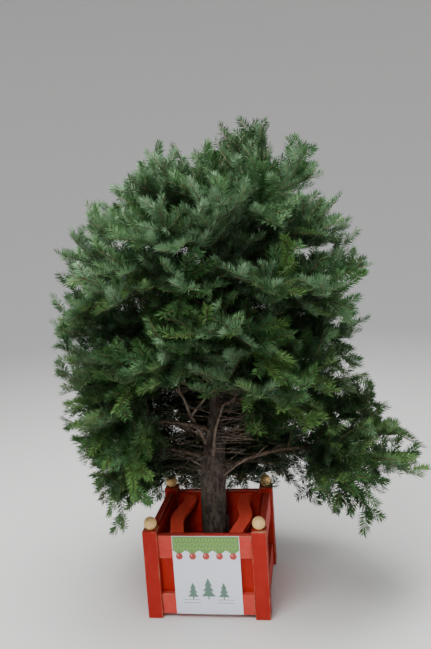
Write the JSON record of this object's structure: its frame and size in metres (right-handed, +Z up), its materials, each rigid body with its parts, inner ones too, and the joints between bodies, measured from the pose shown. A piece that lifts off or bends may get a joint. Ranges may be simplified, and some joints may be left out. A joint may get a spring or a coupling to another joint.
{
  "type": "cut christmas tree in a wooden box stand",
  "caption": "Cut fir tree leaning from a square red wooden box stand with ball-topped posts; bare trunk foot, bushy whorled needle boughs.",
  "frame": {"origin": "on the floor under the middle of the stand, on the flat underside of its floor board", "axes": "+Z up, +X to the viewer's right, which is the way the trunk leans, -Y towards the viewer and the stand's card"},
  "size_m": [1.0977, 0.9003, 1.478],
  "materials": {
    "red_paint": "painted, satin",
    "red_panel_paint": "painted, satin",
    "bare_wood": "turned, clear satin",
    "card_stock": "coated, semi-gloss",
    "bark": "rough bark",
    "twig_bark": "rough bark",
    "needles": "waxy, satin"
  },
  "bodies": {
    "root": {"post_front_left": "red_paint", "post_front_right": "red_paint", "post_back_left": "red_paint", "post_back_right": "red_paint", "ball_front_left": "bare_wood", "ball_front_right": "bare_wood", "ball_back_left": "bare_wood", "ball_back_right": "bare_wood", "top_rail_front": "red_paint", "top_rail_right": "red_paint", "top_rail_back": "red_paint", "top_rail_left": "red_paint", "bottom_rail_front": "red_paint", "bottom_rail_right": "red_paint", "bottom_rail_back": "red_paint", "bottom_rail_left": "red_paint", "panel_front": "red_panel_paint", "panel_right": "red_panel_paint", "panel_back": "red_panel_paint", "panel_left": "red_panel_paint", "stand_floor": "red_panel_paint", "wavy_board_left": "red_paint", "wavy_board_right": "red_paint", "front_card": "card_stock", "trunk": "bark", "bough_lowest_1": "twig_bark", "bough_lowest_2": "twig_bark", "bough_lowest_3": "twig_bark", "bough_lowest_4": "twig_bark", "bough_low_1": "twig_bark", "bough_low_2": "twig_bark", "bough_low_3": "twig_bark", "bough_low_4": "twig_bark", "foliage_leader": "needles", "foliage_lowest_1": "needles", "foliage_lowest_2": "needles", "foliage_lowest_3": "needles", "foliage_lowest_4": "needles", "foliage_low_1": "needles", "foliage_low_2": "needles", "foliage_low_3": "needles", "foliage_low_4": "needles", "foliage_middle_1": "needles", "foliage_middle_2": "needles", "foliage_middle_3": "needles", "foliage_middle_4": "needles", "foliage_wide_1": "needles", "foliage_wide_2": "needles", "foliage_wide_3": "needles", "foliage_wide_4": "needles", "foliage_high_1": "needles", "foliage_high_2": "needles", "foliage_high_3": "needles", "foliage_high_4": "needles", "foliage_upper_1": "needles", "foliage_upper_2": "needles", "foliage_upper_3": "needles", "foliage_top_1": "needles", "foliage_top_2": "needles", "foliage_top_3": "needles"}
  },
  "joints": []
}
